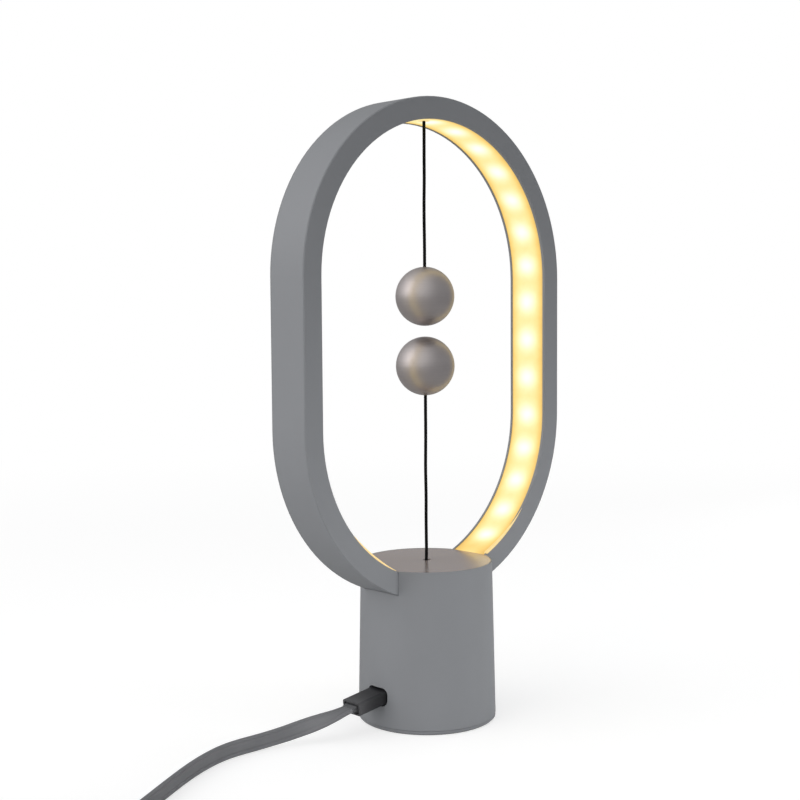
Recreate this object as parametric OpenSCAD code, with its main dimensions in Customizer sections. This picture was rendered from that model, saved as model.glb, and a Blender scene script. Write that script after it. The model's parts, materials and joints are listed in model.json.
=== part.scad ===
// Magnetic balance lamp: a lit ring on a round base, with two balls on cords that meet in mid air.
// Millimetres. The origin is under the middle of the base. The ring stands in the XZ plane,
// its open front faces -Y, and the power socket is on the -X side.

/* [Ring] */
// Outside radius of the ring's round ends
ring_outer_r = 113.7; // [110:0.1:117]
// Length of the straight stretch between the round ends
straight_length = 92.2; // [80:0.1:105]
// Thickness of the ring from its inner to its outer face
ring_t = 14; // [13:0.1:16]
// Depth of the ring from front to back
ring_depth = 31.6; // [29:0.1:33]
// Wall of the ring's housing and of its back cover
ring_wall = 2; // [1.6:0.1:2.4]
// Bevel along the ring's edges
ring_edge = 0.6; // [0.3:0.1:0.9]
// How far the ring's underside lies below the top of the base
ring_sink = 22.5; // [21:0.1:24]
// Half width of the gap between the ring's two ends, inside the base
ring_gap_half = 20; // [19:0.1:21.5]

/* [Light] */
// Thickness of the frosted diffuser
diffuser_t = 1.6; // [1.2:0.1:2]
// How far the diffuser lies behind the ring's inner edges
diffuser_inset = 0.4; // [0.2:0.1:0.8]
// Width of the flexible strip that carries the LEDs
strip_w = 8; // [6:0.5:10]
// Side of one LED
led_side = 5; // [3.5:0.1:5.5]
// Height of one LED
led_h = 1.6; // [1:0.1:2]
// Room between the last LED on the right and the end of the strip
led_end_room = 47.95; // [30:0.05:56]
// Distance of the first LED from the middle of the ring's top
led_first = 7; // [6.8:0.1:9]
// Number of LEDs on the right half of the ring
led_count_right = 15; // [8:1:15]
// Number of LEDs on the left half of the ring
led_count_left = 14; // [8:1:14]

/* [Base] */
// Height of the base
base_h = 102.9; // [98:0.1:108]
// Radius of the base at its top
base_top_r = 42.9; // [42:0.1:44]
// How much further out the base reaches at its foot than at its top
base_flare = 2.2; // [1.2:0.1:3]
// Wall of the base's casing
base_wall = 2.5; // [2:0.1:2.8]
// Height of the seam between casing and foot plate
seam_z = 2.9; // [2.5:0.1:3.5]
// Thickness of the metal disc on top
disc_t = 2; // [1.5:0.1:2.5]
// Casing rim that shows round the disc
rim_w = 0.9; // [0.6:0.1:1.4]

/* [Balls and cords] */
// Radius of each ball
ball_r = 19; // [17:0.1:19.5]
// Wall of the half shells
ball_wall = 1.6; // [1.2:0.1:2]
// Height of the upper ball's centre
upper_ball_z = 274.7; // [272:0.1:280]
// Height of the lower ball's centre
lower_ball_z = 229.8; // [224:0.1:231]
// Diameter of the two suspension cords
cord_d = 2.1; // [1.8:0.1:2.4]
// Radius of the magnets
magnet_r = 10; // [8:0.1:11]
// Thickness of the magnets
magnet_t = 5; // [3:0.1:6]

/* [Pull switch] */
// Travel of the switch slider
switch_travel = 1.5; // [1:0.1:2]
// Inside radius of the switch housing
switch_bore_r = 7.2; // [6.8:0.1:7.6]
// Wall of the switch housing
switch_wall = 1.8; // [1.4:0.1:2]
// Radius of the slider's stem
stem_r = 2.5; // [2.2:0.1:2.8]
// Wire of the return spring
spring_wire = 0.7; // [0.5:0.05:0.9]
// Mean radius of the return spring
spring_r = 4.4; // [4.1:0.1:4.6]
// Turns of the return spring
spring_turns = 6; // [4:1:7]

/* [Inside the base] */
// Room between the ballast weight and the casing's wall
ballast_room = 8.4; // [7.4:0.1:12]
// Height of the ballast weight
ballast_h = 8.5; // [6:0.1:9]
// Side of the square control board
board_side = 40; // [34:0.5:44]
// Thickness of the boards
board_t = 1.6; // [1:0.1:2]
// Height of the spacers under the control board
spacer_h = 18; // [17:0.5:22]

/* [Socket and plug] */
// Height of the socket's middle at the wall
socket_z = 21.5; // [20:0.1:23]
// Angle by which the socket looks down
socket_tilt = 8; // [4:0.5:9]
// Width of the plug's grip
plug_w = 15.6; // [13:0.1:16]
// Height of the plug's grip
plug_h = 8.5; // [7.5:0.1:9]
// Length of the plug's grip outside the casing
plug_out = 21.7; // [18:0.1:26]
// Gap between the plug's grip and the recess at its sides
recess_side = 1; // [0.6:0.1:1.4]
// Gap above and below the plug's grip in its recess
recess_over = 1.5; // [1.2:0.1:2.4]
// Depth of the recess behind the casing's face
recess_depth = 7; // [6:0.1:8]

/* [Cable] */
// Width of the flat cable
cable_w = 10; // [9:0.1:10.4]
// Thickness of the flat cable
cable_t = 2.4; // [2:0.1:2.6]
// Distance between neighbouring turns of the coil
coil_pitch = 3.8; // [3.6:0.05:4.2]
// Number of turns of the coil
coil_turns = 3.75; // [2.75:1:4.75]

/* [Hidden] */
$fn = 96;

// Clearances, and how far a cut runs past a face
fit = 0.15;
slide_fit = 0.08;
over = 1;
thread_fit = 0.05;

// Ring, worked out
ring_inner_r = ring_outer_r - ring_t;
arc_low_z = base_h - ring_sink + ring_outer_r;
arc_high_z = arc_low_z + straight_length;
ring_inner_top_z = arc_high_z + ring_inner_r;
front_y = -ring_depth / 2;
back_y = ring_depth / 2;
cover_lip_h = 3;
cover_lip_t = 1.4;
diffuser_face_r = ring_inner_r + diffuser_inset;
diffuser_back_r = diffuser_face_r + diffuser_t;
wall_in_r = ring_outer_r - ring_wall;
strip_t = 0.4;
strip_face_r = wall_in_r - strip_t;
strip_half_l = strip_face_r * (90 + acos(ring_gap_half / strip_face_r)) * PI / 180 + straight_length;
led_pitch = (strip_half_l - led_first - led_end_room) / (led_count_right - 1);
led_seat_gap = 0.01;
end_block_l = 15;
ring_screw_off = 7.6;

// Screws
screw_r = 1.5;
screw_head_r = 2.75;
screw_head_h = 1.6;
small_screw_r = 1;
small_head_r = 2;
small_head_h = 1.2;

// Upper cord: its pivot lies just under the ring's inner face
pivot_drop = 0.4;
upper_pivot_z = ring_inner_top_z - pivot_drop;
anchor_r = 4;
knot_r = 2.4;
knot_room = 0.3;
cord_r = cord_d / 2;
cord_gap = 0.3;

// Base, worked out
base_foot_r = base_top_r + base_flare;
ballast_r = base_top_r - base_wall - ballast_room;
foot_step = 0.2;
seam_groove = 0.5;
pad_shown = 0.3;
pad_t = 0.8;
foot_bevel = 0.8;
cover_head_h = 0.6;
pad_band = 14.1;
pad_inner_r = base_foot_r - pad_band;
pad_inset = 1.4;
spigot_h = 3;
spigot_t = 1.6;
shelf_w = 3.6;
shelf_h = 2;
disc_under_z = base_h - disc_t;
boss_r = 4;
boss_web_t = 3;
top_boss_ring_r = base_top_r - base_wall - boss_r;
foot_boss_ring_r = base_foot_r - base_wall - boss_r;
boss_angle = 48;
saddle_boss_h = 20;
cover_boss_h = 12;
saddle_plate_t = 4;
saddle_drop = 14;
saddle_plate_z = base_h - ring_sink - saddle_drop;
slot_w = 2;
slot_reach = 4.2;
disc_hole_r = 2.2;
guide_bore_r = 2;
guide_r = 5;
guide_h = 4.5;
guide_flange_r = 8;
guide_flange_h = 1.6;

// Lower cord: its pivot lies just over the disc
pivot_rise = 0.5;
lower_pivot_z = base_h + pivot_rise;
ferrule_l = 1.5;
lower_ball_bottom_z = lower_ball_z - ball_r;

// Switch, worked out
switch_floor_t = 2;
switch_cap_t = 3;
switch_room_h = 16;
switch_z = saddle_plate_z - switch_floor_t;
switch_top_z = switch_z + switch_floor_t + switch_room_h;
flange_h = 3;
flange_lift = 1;
flange_z = switch_z + switch_floor_t + flange_lift + switch_travel;
stem_rise = 4.5;
stem_top_z = switch_top_z + switch_cap_t + stem_rise;
contact_w = 1.3;
contact_t = 0.5;
contact_gap = 0.05;
contact_pin_r = 0.5;
pin_above = 4;
stub_depth = 8;
seat_gap = 0.2;

// Inside of the balls
ball_in_r = ball_r - ball_wall;
core_r = 12;
core_seat_gap = 0.1;
core_half = sqrt(ball_in_r * ball_in_r - core_r * core_r) - core_seat_gap;
cord_bore_r = cord_r + slide_fit * 2;
cord_into_ball = 12;

// Boards
ballast_z = seam_z;
board_z = ballast_z + ballast_h + spacer_h;
spacer_r = 2.5;
spacer_inset = 5;
spacer_off = board_side / 2 - spacer_inset;
chip = [9, 9, 1.8];
coil_part_r = 4;
coil_part_h = 5;
cap_r = 3;
cap_h = 8;
cap_off = 9;

// Socket, in its own frame: the casing's face at x = 0, looking along -X
socket_face_x = base_foot_r - (base_foot_r - base_top_r) * socket_z / base_h;
corner_r = 4.2;
recess_w = plug_w + 2 * recess_side;
recess_h = plug_h + 2 * recess_over;
cup_wall = 1.5;
cup_floor_t = 1.2;
grip_in = 5;
tongue_w = 8.3;
tongue_h = 2.6;
tongue_l = 7.5;
socket_metal = 0.8;
socket_w = tongue_w + 2 * socket_metal;
socket_h = tongue_h + 2 * socket_metal;
socket_l = 9;
socket_board_w = 14;
socket_board_l = 16;
grip_corner = 1.6;
grip_lip = 1.2;
grip_lip_t = 1.1;

// Cable route from the plug to the coil: middle of the flat cable, chosen by hand
exit_d = [-cos(socket_tilt), 0, -sin(socket_tilt)];
plug_mouth = [-socket_face_x, 0, socket_z] + plug_out * exit_d;
route = [
    [-73, 0.3, 17.4],
    [-79, 1.5, 15.9],
    [-85, 4, 14.1],
    [-92, 7.7, 11.9],
    [-99, 11.5, 9.8],
    [-107, 15.2, 7.7],
    [-116, 18.4, 6.1],
    [-125, 20.2, 5.3],
    [-135, 20.9, 5.1],
    [-145, 20.4, 5.1],
    [-155, 18.4, 5.1],
    [-165, 15, 5.1],
    [-176, 10.3, 5.1],
    [-188, 4.2, 5.1],
    [-201, -3.2, 5.1],
    [-214, -10.9, 5.1],
    [-227, -18.7, 5.1],
    [-241, -27, 5.2],
    [-256, -35.6, 5.4],
    [-271, -44, 5.6],
    [-286, -52.3, 5.8]
];
// The cable leaves the plug flat, and has turned on edge by this point of its route
twist_points = 7;
coil_join = [-304.5, -62.4, 5.9];
coil_heading = 210;
coil_outer_r = 57;
coil_steps = 24;
coil_inner_r = coil_outer_r - coil_pitch * coil_turns;
coil_mid = coil_join + coil_outer_r * [cos(coil_heading - 90), sin(coil_heading - 90), 0];
turn_in_r = 20;
turn_in_angle = 120;
turn_in_steps = 8;
tail_l = cable_w;
tie_t = 0.8;
tie_w = 9;
tie_room = 0.1;
tie_angle = 60;
charger_w = 16;
charger_h = 8;
charger_grip_l = 22;
charger_shell = [13, 12, 4.5];
charger_wall = 0.3;

// Profile across the flat cable, eight points
cable_section = [
    [-cable_t / 2, -cable_w / 2 + cable_t / 3],
    [-cable_t / 5, -cable_w / 2],
    [cable_t / 5, -cable_w / 2],
    [cable_t / 2, -cable_w / 2 + cable_t / 3],
    [cable_t / 2, cable_w / 2 - cable_t / 3],
    [cable_t / 5, cable_w / 2],
    [-cable_t / 5, cable_w / 2],
    [-cable_t / 2, cable_w / 2 - cable_t / 3]
];
coil_section = [
    [-cable_t / 2, -cable_w / 2 + cable_t / 4],
    [0, -cable_w / 2],
    [cable_t / 2, -cable_w / 2 + cable_t / 4],
    [cable_t / 2, cable_w / 2 - cable_t / 4],
    [0, cable_w / 2],
    [-cable_t / 2, cable_w / 2 - cable_t / 4]
];

function unit(v) = v / norm(v);
function flat(v) = [v[0], v[1], 0];

// Directions along a path, the ends' own given
function headings(path, first, last) = [
    for (i = [0:len(path) - 1])
        i == 0 ? first : i == len(path) - 1 ? last : unit(path[i + 1] - path[i - 1])
];

// Rings of a flat tube that stands on edge, laid over by an angle given for each point
function flat_rings(path, dirs, section, lean) = [
    for (i = [0:len(path) - 1])
        let (side = unit([-dirs[i][1], dirs[i][0], 0]), rise = cross(dirs[i], side))
        let (across = side * cos(lean[i]) + rise * sin(lean[i]))
        let (along = rise * cos(lean[i]) - side * sin(lean[i]))
        [for (p = section) path[i] + p[0] * across + p[1] * along]
];

// A closed tube through rings of points
module tube_through(rings) {
    n = len(rings[0]);
    last = len(rings) - 1;
    points = [for (ring = rings) for (p = ring) p];
    sides = [
        for (i = [0:last - 1])
            for (j = [0:n - 1])
                for (half = [0, 1])
                    half == 0
                        ? [i * n + j, i * n + (j + 1) % n, (i + 1) * n + (j + 1) % n]
                        : [i * n + j, (i + 1) * n + (j + 1) % n, (i + 1) * n + j]
    ];
    caps = [
        for (j = [1:n - 2]) [0, j + 1, j],
        for (j = [1:n - 2]) [last * n, last * n + j, last * n + j + 1]
    ];
    polyhedron(points = points, faces = concat(sides, caps), convexity = 10);
}

// Outline of the ring at a given radius, drawn in X and Z
module stadium(r) {
    for (z = [arc_low_z, arc_high_z]) {
        translate([0, z]) circle(r, $fn = 180);
    }
    translate([-r, arc_low_z]) square([2 * r, straight_length]);
}

// Everything inside the outline, between two depths
module stadium_block(r, y_from, y_to) {
    translate([0, y_to, 0]) rotate([90, 0, 0]) linear_extrude(y_to - y_from) stadium(r);
}

// Sweeps a section, drawn as radius against depth, round the whole ring
module ring_sweep() {
    translate([0, 0, arc_high_z]) rotate([90, 0, 0])
        rotate_extrude(angle = 180, $fn = 180) mirror([0, 1]) children();
    translate([0, 0, arc_low_z]) rotate([0, 180, 0]) rotate([90, 0, 0])
        rotate_extrude(angle = 180, $fn = 180) mirror([0, 1]) children();
    for (side = [0, 1]) {
        mirror([side, 0, 0]) translate([0, 0, arc_low_z]) linear_extrude(straight_length) children();
    }
}

// The ring's gap inside the base
module ring_gap() {
    gap_h = ring_t + ring_sink;
    translate([-ring_gap_half, front_y - over, base_h - ring_sink - over])
        cube([2 * ring_gap_half, ring_depth + 2 * over, gap_h]);
}

// Puts a shape at each of the four screws on a circle of the given radius
module at_bosses(ring_r) {
    for (a = [boss_angle, 180 - boss_angle, 180 + boss_angle, 360 - boss_angle]) {
        rotate([0, 0, a]) translate([ring_r, 0, 0]) children();
    }
}

// A screw boss with a web that joins it to the casing's wall
module boss(z, h) {
    drill(z, h, boss_r);
    translate([0, -boss_web_t / 2, z]) cube([boss_r + base_wall / 2, boss_web_t, h]);
}

// Puts a shape at each of the four screws into the ring's ends
module at_ring_screws() {
    for (sx = [-1, 1]) {
        for (sy = [-1, 1]) {
            translate([sx * (ring_gap_half + end_block_l / 2), sy * ring_screw_off, 0]) children();
        }
    }
}

// Puts a shape at each of the two screws that hold the ballast
module at_ballast_screws() {
    for (side = [-1, 1]) {
        translate([0, side * ballast_r / 2, 0]) children();
    }
}

// Puts a shape at each corner of the control board
module at_board_corners() {
    for (sx = [-1, 1]) {
        for (sy = [-1, 1]) {
            translate([sx * spacer_off, sy * spacer_off, 0]) children();
        }
    }
}

// A drilled hole that starts at a height and runs up
module drill(z, h, r) {
    translate([0, 0, z]) cylinder(h = h, r = r, $fn = 32);
}

// A round screw with its head at the bottom
module screw(l, r, head_r, head_h) {
    cylinder(h = head_h, r = head_r);
    translate([0, 0, head_h]) cylinder(h = l, r = r, $fn = 32);
}

// The socket's own frame, tilted at the casing's face
module at_socket() {
    translate([-socket_face_x, 0, socket_z]) rotate([0, -socket_tilt, 0]) children();
}

// A block along X with rounded long edges
module rounded_bar(x_from, x_to, w, h, r) {
    translate([x_from, 0, 0]) rotate([90, 0, 90]) linear_extrude(x_to - x_from) {
        square([w - 2 * r, h], center = true);
        square([w, h - 2 * r], center = true);
        for (sx = [-1, 1]) {
            for (sz = [-1, 1]) {
                translate([sx * (w / 2 - r), sz * (h / 2 - r)]) circle(r, $fn = 32);
            }
        }
    }
}

// A wire with round elbows through a list of points
module wire(points, r) {
    for (i = [0:len(points) - 2]) {
        a = points[i];
        b = points[i + 1];
        run = b - a;
        turn = acos(run[2] / norm(run));
        heading = atan2(run[1], run[0]);
        translate(a) rotate([0, turn, heading]) cylinder(h = norm(run), r = r, $fn = 16);
        translate(b) sphere(r, $fn = 16);
    }
}

// Ring

module ring_housing() color("#77797c") difference() {
    ring_sweep() polygon([
        [ring_inner_r + ring_edge / 2, front_y],
        [ring_outer_r - ring_edge, front_y],
        [ring_outer_r, front_y + ring_edge],
        [ring_outer_r, back_y - ring_wall],
        [wall_in_r, back_y - ring_wall],
        [wall_in_r, front_y + ring_wall],
        [ring_inner_r, front_y + ring_wall],
        [ring_inner_r, front_y + ring_edge / 2]
    ]);
    ring_gap();
    at_ring_screws() drill(0, base_h, screw_r + thread_fit);
}

module ring_back_cover() color("#6f7174") difference() {
    ring_sweep() {
        polygon([
            [ring_inner_r, back_y - ring_wall],
            [ring_outer_r, back_y - ring_wall],
            [ring_outer_r, back_y - ring_edge],
            [ring_outer_r - ring_edge, back_y],
            [ring_inner_r + ring_edge / 2, back_y],
            [ring_inner_r, back_y - ring_edge / 2]
        ]);
        translate([wall_in_r - fit - cover_lip_t, back_y - ring_wall - cover_lip_h])
            square([cover_lip_t, cover_lip_h + ring_wall / 2]);
    }
    ring_gap();
}

module light_diffuser() color("#fff0c8") difference() {
    ring_sweep() translate([diffuser_face_r, front_y + ring_wall])
        square([diffuser_t, ring_depth - 2 * ring_wall]);
    ring_gap();
    translate([0, 0, arc_high_z]) cylinder(h = ring_outer_r, r = anchor_r);
}

module led_strip() color("#f4f1e6") difference() {
    ring_sweep() translate([strip_face_r, -strip_w / 2]) square([strip_t, strip_w]);
    ring_gap();
}

// One LED at a distance from the middle of the ring's top, measured along the strip
module led_at(s) {
    arc_l = strip_face_r * PI / 2;
    base_r = strip_face_r - led_h;
    bent_r = sqrt(strip_face_r * strip_face_r - led_side * led_side / 4) - led_h - led_seat_gap;
    if (s < arc_l) {
        translate([0, 0, arc_high_z]) rotate([0, s / strip_face_r * 180 / PI, 0])
            translate([-led_side / 2, -led_side / 2, bent_r]) cube([led_side, led_side, led_h]);
    } else if (s < arc_l + straight_length) {
        translate([base_r, -led_side / 2, arc_high_z - (s - arc_l) - led_side / 2])
            cube([led_h, led_side, led_side]);
    } else {
        low_a = 90 + (s - arc_l - straight_length) / strip_face_r * 180 / PI;
        translate([0, 0, arc_low_z]) rotate([0, low_a, 0])
            translate([-led_side / 2, -led_side / 2, bent_r]) cube([led_side, led_side, led_h]);
    }
}

module leds() color("#ffe9a0") {
    for (i = [-led_count_left:led_count_right - 1]) {
        s = led_first + i * led_pitch;
        mirror([s < 0 ? 1 : 0, 0, 0]) led_at(abs(s));
    }
}

module ring_end_blocks() color("#3b3d40") difference() {
    block_t = strip_face_r - diffuser_back_r - 2 * fit;
    block_depth = ring_depth - 2 * ring_wall - cover_lip_h - 2 * fit;
    intersection() {
        ring_sweep() translate([diffuser_back_r + fit, front_y + ring_wall + fit])
            square([block_t, block_depth]);
        for (side = [-1, 1]) {
            translate([side * (ring_gap_half + end_block_l / 2) - end_block_l / 2, front_y, 0])
                cube([end_block_l, ring_depth, base_h]);
        }
    }
    at_ring_screws() drill(0, base_h, screw_r + thread_fit);
}

saddle_half_x = ring_gap_half + end_block_l + 1;
saddle_screw_z = saddle_plate_z - screw_head_h;

module ring_saddle() color("#4a4c50") difference() {
    union() {
        translate([0, 0, saddle_plate_z]) cylinder(h = saddle_plate_t, r = base_top_r - base_wall - over);
        intersection() {
            translate([-saddle_half_x, front_y + ring_wall, saddle_plate_z])
                cube([2 * saddle_half_x, ring_depth - 2 * ring_wall, ring_sink]);
            translate([0, 0, saddle_plate_z]) cylinder(h = ring_sink, r = base_top_r - base_wall - over);
        }
    }
    stadium_block(ring_outer_r, front_y - over, back_y + over);
    translate([0, 0, saddle_plate_z - over])
        cylinder(h = ring_sink + 2 * over, r = switch_bore_r + switch_wall + fit);
    at_ring_screws() drill(saddle_plate_z - over, base_h, screw_r + thread_fit);
    at_bosses(top_boss_ring_r) drill(saddle_plate_z - over, saddle_plate_t + 2 * over, screw_r + thread_fit);
}

module saddle_screws() color("#9b9da0") {
    at_ring_screws() translate([0, 0, saddle_screw_z])
        screw(saddle_plate_z - saddle_screw_z + ring_sink, screw_r, screw_head_r, screw_head_h);
    at_bosses(top_boss_ring_r) translate([0, 0, saddle_screw_z])
        screw(saddle_plate_t + 2 * boss_r, screw_r, screw_head_r, screw_head_h);
}

module cord_anchor() color("#2b2b2d") difference() {
    translate([0, 0, ring_inner_top_z + diffuser_inset])
        cylinder(h = strip_face_r - diffuser_face_r - seat_gap, r = anchor_r - fit);
    drill(ring_inner_top_z - over, ring_t, cord_r + thread_fit);
    translate([0, 0, diffuser_back_r + arc_high_z + knot_r])
        sphere(knot_r + knot_room);
    translate([0, 0, diffuser_back_r + arc_high_z + knot_r])
        cylinder(h = ring_t, r = knot_r + knot_room);
}

module upper_cord_knot() color("#151515") {
    translate([0, 0, upper_pivot_z + cord_r + cord_gap])
        cylinder(h = diffuser_back_r + arc_high_z + knot_r - upper_pivot_z - cord_r - cord_gap, r = cord_r);
    translate([0, 0, diffuser_back_r + arc_high_z + knot_r]) sphere(knot_r + knot_room / 2);
}

// Base

module base_shell() color("#808286") difference() {
    union() {
        rotate_extrude() polygon([
            [base_foot_r - base_wall, seam_z],
            [base_foot_r - (base_foot_r - base_top_r) * seam_z / base_h, seam_z],
            [base_top_r, base_h],
            [base_top_r - rim_w, base_h],
            [base_top_r - rim_w, disc_under_z],
            [base_top_r - rim_w - shelf_w, disc_under_z],
            [base_top_r - rim_w - shelf_w, disc_under_z - shelf_h],
            [base_top_r - base_wall, disc_under_z - shelf_h - shelf_w]
        ]);
        at_bosses(top_boss_ring_r) boss(saddle_plate_z + saddle_plate_t, saddle_boss_h);
        at_bosses(foot_boss_ring_r) boss(seam_z + spigot_h + fit, cover_boss_h);
    }
    stadium_block(ring_outer_r + fit, front_y - fit, back_y + fit);
    at_bosses(foot_boss_ring_r) drill(seam_z, cover_boss_h, screw_r + thread_fit);
    at_bosses(top_boss_ring_r) drill(saddle_plate_z, saddle_boss_h - boss_r, screw_r + thread_fit);
    at_socket() rounded_bar(-2 * base_wall, 2 * base_wall, recess_w, recess_h, corner_r);
}

module top_disc() color("#b3a49f") difference() {
    translate([0, 0, disc_under_z]) cylinder(h = disc_t, r = base_top_r - rim_w - thread_fit);
    difference() {
        stadium_block(ring_outer_r, front_y - fit, back_y + fit);
        stadium_block(ring_inner_r - fit, front_y - over, back_y + over);
    }
    drill(disc_under_z - over, disc_t + 2 * over, disc_hole_r);
    translate([0, -slot_w / 2, disc_under_z - over]) cube([slot_reach, slot_w, disc_t + 2 * over]);
}

module cord_guide() color("#1c1c1e") difference() {
    union() {
        translate([0, 0, disc_under_z - guide_h]) cylinder(h = guide_h, r = guide_r);
        translate([0, 0, disc_under_z - guide_flange_h]) cylinder(h = guide_flange_h, r = guide_flange_r);
    }
    drill(disc_under_z - guide_h - over, guide_h + 2 * over, guide_bore_r);
}

module foot_plate() color("#6d6f73") difference() {
    foot_r = base_foot_r - foot_step;
    spigot_r = base_foot_r - base_wall - fit;
    pad_rim_r = foot_r - pad_inset + fit;
    rotate_extrude() polygon([
        [0, pad_t],
        [pad_rim_r, pad_t],
        [pad_rim_r, pad_shown],
        [foot_r - foot_bevel, pad_shown],
        [foot_r, pad_shown + foot_bevel],
        [foot_r, seam_z - seam_groove],
        [foot_r - seam_groove, seam_z],
        [spigot_r, seam_z],
        [spigot_r, seam_z + spigot_h],
        [spigot_r - spigot_t, seam_z + spigot_h],
        [spigot_r - spigot_t, seam_z],
        [0, seam_z]
    ]);
    at_bosses(foot_boss_ring_r) drill(0, 2 * spigot_h, screw_r + thread_fit);
    at_ballast_screws() {
        drill(0, seam_z + over, screw_r + thread_fit);
        drill(0, screw_head_h + thread_fit, screw_head_r + thread_fit);
    }
}

module foot_pad() color("#1b1b1c") difference() {
    cylinder(h = pad_t, r = base_foot_r - foot_step - pad_inset);
    translate([0, 0, -over]) cylinder(h = pad_t + 2 * over, r = pad_inner_r);
    at_bosses(foot_boss_ring_r) translate([0, 0, -over])
        cylinder(h = pad_t + 2 * over, r = screw_head_r + fit);
}

module cover_screws() color("#9b9da0") at_bosses(foot_boss_ring_r) {
    translate([0, 0, pad_t - cover_head_h]) cylinder(h = cover_head_h, r = screw_head_r, $fn = 48);
    translate([0, 0, pad_t]) cylinder(h = cover_boss_h, r = screw_r, $fn = 32);
}

module ballast_weight() color("#55585c") difference() {
    translate([0, 0, ballast_z]) cylinder(h = ballast_h, r = ballast_r);
    at_ballast_screws() drill(0, ballast_z + ballast_h + over, screw_r + thread_fit);
    at_board_corners() drill(ballast_z + ballast_h / 2, ballast_h, small_screw_r + thread_fit);
}

module ballast_screws() color("#9b9da0") at_ballast_screws() translate([0, 0, pad_t / 2])
    screw(ballast_h, screw_r, screw_head_r, screw_head_h - pad_t / 2);

module board_spacers() color("#c2a25a") at_board_corners() {
    translate([0, 0, ballast_z + ballast_h]) difference() {
        cylinder(h = spacer_h, r = spacer_r, $fn = 6);
        drill(spacer_h / 2, spacer_h, small_screw_r + thread_fit);
    }
    drill(ballast_z + ballast_h / 2, ballast_h / 2, small_screw_r);
}

module control_board() color("#1f5b3a") difference() {
    translate([-board_side / 2, -board_side / 2, board_z]) cube([board_side, board_side, board_t]);
    at_board_corners() drill(board_z - over, board_t + 2 * over, small_screw_r + thread_fit);
}

module board_parts() color("#26282b") translate([0, 0, board_z + board_t]) {
    translate([-chip[0] / 2, -chip[1] / 2, 0]) cube(chip);
    translate([cap_off + cap_r, 0, 0]) cylinder(h = cap_h, r = cap_r);
    translate([0, cap_off + coil_part_r, 0]) cylinder(h = coil_part_h, r = coil_part_r);
    translate([-cap_off - cap_r, 0, 0]) cylinder(h = cap_h / 2, r = cap_r);
}

module board_screws() color("#9b9da0") at_board_corners() {
    translate([0, 0, board_z + board_t]) cylinder(h = small_head_h, r = small_head_r);
    drill(board_z - spacer_h / 3, spacer_h / 3 + board_t, small_screw_r);
}

// Socket

module socket_cup() color("#1d1d20") intersection() {
    at_socket() difference() {
        rounded_bar(-over, recess_depth + cup_floor_t, recess_w + 2 * cup_wall, recess_h + 2 * cup_wall,
            corner_r + cup_wall);
        rounded_bar(-2 * over, recess_depth, recess_w, recess_h, corner_r);
        rounded_bar(0, recess_depth + 2 * cup_floor_t, socket_w + 2 * thread_fit, socket_h + 2 * thread_fit,
            tongue_h / 2);
    }
    rotate_extrude() polygon([
        [0, seam_z],
        [base_foot_r - base_wall - fit, seam_z],
        [base_top_r - base_wall - fit, base_h],
        [0, base_h]
    ]);
}

module usb_socket() color("#b9bbbe") at_socket() difference() {
    rounded_bar(recess_depth, recess_depth + socket_l, socket_w, socket_h, tongue_h / 2);
    rounded_bar(recess_depth - over, recess_depth + tongue_l + fit, tongue_w + 2 * fit, tongue_h + 2 * fit,
        tongue_h / 2);
}

module socket_board() color("#1f5b3a") at_socket()
    translate([recess_depth + cup_floor_t, -socket_board_w / 2, -socket_h / 2 - board_t])
        cube([socket_board_l, socket_board_w, board_t]);

module plug_grip() color("#3d3d40") at_socket() difference() {
    rounded_bar(-plug_out, grip_in, plug_w, plug_h, grip_corner);
    difference() {
        rounded_bar(-plug_out - over, -plug_out + grip_lip, plug_w - 2 * grip_lip_t, plug_h - 2 * grip_lip_t,
            grip_corner);
        rounded_bar(-plug_out - 2 * over, -plug_out + 2 * grip_lip, plug_w - 4 * grip_lip_t,
            plug_h - 4 * grip_lip_t, grip_corner / 2);
    }
}

module plug_shell() color("#c4c6c9") at_socket()
    rounded_bar(grip_in, recess_depth + tongue_l - slide_fit, tongue_w, tongue_h, tongue_h / 2 - slide_fit);

// Wires: from the socket board to the control board, and from there to the ring and the switch
wire_r = 0.6;
wire_pitch = 2;
module inner_wires() color("#b03030") {
    board_end = -board_side / 2 + wire_pitch;
    socket_end = -socket_face_x + recess_depth + cup_floor_t + socket_board_l - wire_pitch;
    low_z = socket_z + board_t;
    for (i = [-1, 1]) {
        wire([
            [socket_end, i * wire_pitch, low_z],
            [socket_end, i * wire_pitch, board_z - wire_r],
            [board_end, i * wire_pitch, board_z - wire_r]
        ], wire_r);
        wire([
            [i * wire_pitch, -board_side / 2 + 2 * wire_pitch, board_z + board_t + wire_r],
            [i * wire_pitch, -board_side / 2 + 2 * wire_pitch, switch_z - wire_r - seat_gap],
            [i * wire_pitch, -wire_pitch, switch_z - wire_r - seat_gap]
        ], wire_r);
    }
}

// Pull switch

module switch_housing() color("#202226") difference() {
    translate([0, 0, switch_z]) cylinder(h = switch_top_z - switch_z, r = switch_bore_r + switch_wall);
    translate([0, 0, switch_z + switch_floor_t]) cylinder(h = switch_room_h + over, r = switch_bore_r);
}

module switch_cap() color("#d9d2c0") difference() {
    translate([0, 0, switch_top_z]) cylinder(h = switch_cap_t, r = switch_bore_r + switch_wall);
    translate([0, 0, switch_top_z - over]) cylinder(h = switch_cap_t + 2 * over, r = stem_r + slide_fit);
    for (side = [-1, 1]) {
        translate([side * (switch_bore_r - contact_w), 0, switch_top_z - over])
            cylinder(h = switch_cap_t + 2 * over, r = contact_pin_r + thread_fit, $fn = 24);
    }
}

module contact_pins() color("#c9a23c") for (side = [-1, 1]) {
    low_z = flange_z + flange_h + contact_t + contact_gap;
    translate([side * (switch_bore_r - contact_w), 0, low_z])
        cylinder(h = switch_top_z + switch_cap_t + pin_above - low_z, r = contact_pin_r, $fn = 24);
}

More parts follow.
